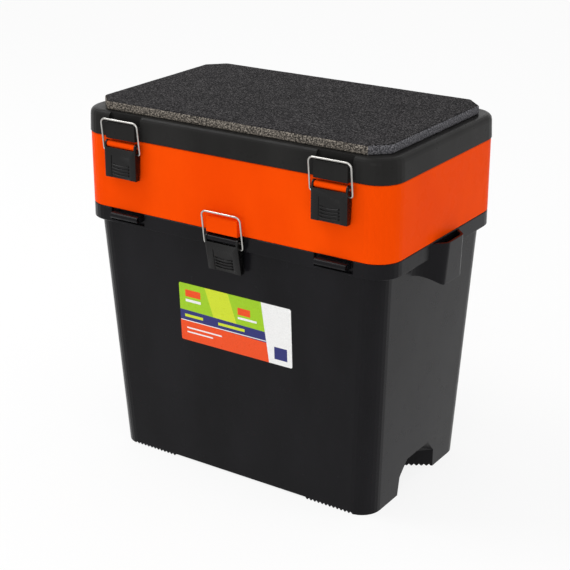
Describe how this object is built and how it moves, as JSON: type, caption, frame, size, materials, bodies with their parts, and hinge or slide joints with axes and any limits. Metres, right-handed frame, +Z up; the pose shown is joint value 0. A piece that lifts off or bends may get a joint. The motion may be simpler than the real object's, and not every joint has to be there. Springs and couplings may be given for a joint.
{
  "type": "fishing seat box",
  "caption": "Upright plastic box to sit on: tapered tub, hinged tray section, hinged lid with foam pad, and wire draw latches.",
  "frame": {"origin": "centre of the box on the ground, under the middle of its overall bounds", "axes": "+Z up, -Y towards the front with the latches, +X to the right as seen from the front"},
  "size_m": [0.4054, 0.256, 0.4032],
  "materials": {
    "black_plastic": "black moulded plastic, satin gloss",
    "orange_plastic": "bright orange moulded plastic, satin gloss",
    "grey_foam": "speckled charcoal closed-cell foam, matt",
    "steel_wire": "bright steel wire"
  },
  "bodies": {
    "tub_body": {"lower_tub": "black_plastic", "center_lever_pin": "steel_wire", "tray_hinge_pin_left": "steel_wire", "tray_hinge_pin_right": "steel_wire"},
    "tray_body": {"middle_tray": "orange_plastic", "left_lever_pin": "steel_wire", "right_lever_pin": "steel_wire", "lid_hinge_pin_left": "steel_wire", "lid_hinge_pin_right": "steel_wire"},
    "lid_body": {"lid": "black_plastic", "seat_pad": "grey_foam"},
    "left_lever_body": {"left_lever": "black_plastic"},
    "right_lever_body": {"right_lever": "black_plastic"},
    "center_lever_body": {"center_lever": "black_plastic"},
    "left_bail_body": {"left_bail": "steel_wire"},
    "right_bail_body": {"right_bail": "steel_wire"},
    "center_bail_body": {"center_bail": "steel_wire"}
  },
  "joints": [
    {"name": "tray_hinge", "type": "hinge", "parent": "tub_body", "child": "tray_body", "pos_m": [0, 0.1236, 0.2829], "axis": [-1, 0, 0], "range_deg": [0, 95]},
    {"name": "lid_hinge", "type": "hinge", "parent": "tray_body", "child": "lid_body", "pos_m": [0, 0.1236, 0.3623], "axis": [-1, 0, 0], "range_deg": [0, 100]},
    {"name": "left_lever_hinge", "type": "hinge", "parent": "tray_body", "child": "left_lever_body", "pos_m": [-0.129, -0.1224, 0.3623], "axis": [-1, 0, 0], "range_deg": [0, 110]},
    {"name": "right_lever_hinge", "type": "hinge", "parent": "tray_body", "child": "right_lever_body", "pos_m": [0.129, -0.1224, 0.3623], "axis": [-1, 0, 0], "range_deg": [0, 110]},
    {"name": "center_lever_hinge", "type": "hinge", "parent": "tub_body", "child": "center_lever_body", "pos_m": [0, -0.1224, 0.2829], "axis": [-1, 0, 0], "range_deg": [0, 110]},
    {"name": "left_bail_hinge", "type": "hinge", "parent": "left_lever_body", "child": "left_bail_body", "pos_m": [-0.129, -0.123, 0.355], "axis": [1, 0, 0], "range_deg": [0, 160]},
    {"name": "right_bail_hinge", "type": "hinge", "parent": "right_lever_body", "child": "right_bail_body", "pos_m": [0.129, -0.123, 0.355], "axis": [1, 0, 0], "range_deg": [0, 160]},
    {"name": "center_bail_hinge", "type": "hinge", "parent": "center_lever_body", "child": "center_bail_body", "pos_m": [0, -0.12166, 0.27561], "axis": [1, 0, 0], "range_deg": [0, 160]}
  ],
  "couplings": [
    {"joint": "left_bail_hinge", "follows": "left_lever_hinge", "ratio": 1.4},
    {"joint": "right_bail_hinge", "follows": "right_lever_hinge", "ratio": 1.4},
    {"joint": "center_bail_hinge", "follows": "center_lever_hinge", "ratio": 1.4}
  ]
}
